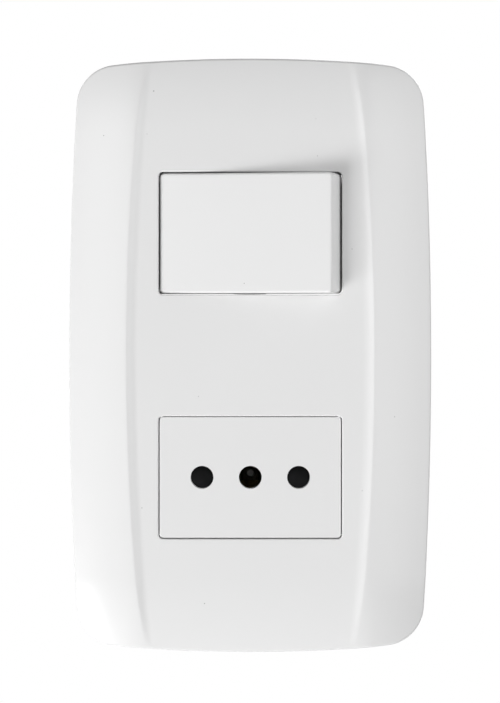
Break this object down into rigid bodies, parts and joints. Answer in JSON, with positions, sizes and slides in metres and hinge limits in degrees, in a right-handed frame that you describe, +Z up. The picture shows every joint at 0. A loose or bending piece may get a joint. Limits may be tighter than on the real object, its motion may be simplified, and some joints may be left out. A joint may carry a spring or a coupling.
{
  "type": "switch and socket combination",
  "caption": "White wall plate with a rocker light switch above and an in-line round-pin socket outlet below, on a support frame for a wall box.",
  "frame": {"origin": "centre of the plate's back, on the wall plane", "axes": "+Z up along the plate's length, +X to the right, +Y into the wall; the front faces -Y"},
  "size_m": [0.0718, 0.0369, 0.1172],
  "materials": {
    "plate_white": "gloss moulded",
    "key_white": "gloss moulded",
    "face_white": "gloss moulded",
    "frame_white": "moulded",
    "housing_dark": "moulded",
    "shutter_dark": "moulded",
    "spring_steel": "drawn wire",
    "screw_steel": "zinc plated",
    "contact_brass": "stamped",
    "contact_bronze": "dull phosphor bronze",
    "contact_silver": "silver alloy"
  },
  "bodies": {
    "base": {"cover_plate": "plate_white", "support_frame": "frame_white", "box_screws": "screw_steel", "switch_chassis": "housing_dark", "switch_housing": "housing_dark", "fixed_contact": "contact_silver", "line_strip": "contact_brass", "common_strip": "contact_brass", "switch_terminals": "contact_brass", "switch_terminal_screws": "screw_steel", "socket_face": "face_white", "socket_body": "housing_dark", "live_contact": "contact_bronze", "neutral_contact": "contact_bronze", "earth_contact": "contact_bronze", "contact_rivets": "screw_steel", "socket_terminals": "contact_brass", "socket_terminal_screws": "screw_steel", "shutter_springs": "spring_steel"},
    "key": {"rocker_key": "key_white", "plunger_spring": "spring_steel"},
    "plunger": {"plunger": "frame_white"},
    "lever": {"contact_lever": "contact_brass", "moving_contact": "contact_silver"},
    "shutter": {"shutter": "shutter_dark"}
  },
  "joints": [
    {"name": "key_rock", "type": "hinge", "parent": "base", "child": "key", "pos_m": [0, -0.001, 0.024], "axis": [0, 0, 1], "range_deg": [0, 13]},
    {"name": "plunger_slide", "type": "slide", "parent": "key", "child": "plunger", "axis": [-0.1132, -0.9936, 0], "range_m": [0, 0.0006], "stiffness_N_per_m": 400, "springref_m": -0.003, "deforming": ["plunger_spring"]},
    {"name": "lever_rock", "type": "hinge", "parent": "base", "child": "lever", "pos_m": [0, 0.0131, 0.024], "axis": [0, 0, 1], "range_deg": [-18, 0]},
    {"name": "shutter_slide", "type": "slide", "parent": "base", "child": "shutter", "axis": [0, 0, -1], "range_m": [0, 0.0051], "stiffness_N_per_m": 60, "springref_m": -0.01, "deforming": ["shutter_springs"]}
  ],
  "couplings": [
    {"joint": "lever_rock", "follows": "key_rock", "ratio": -1.3846}
  ]
}
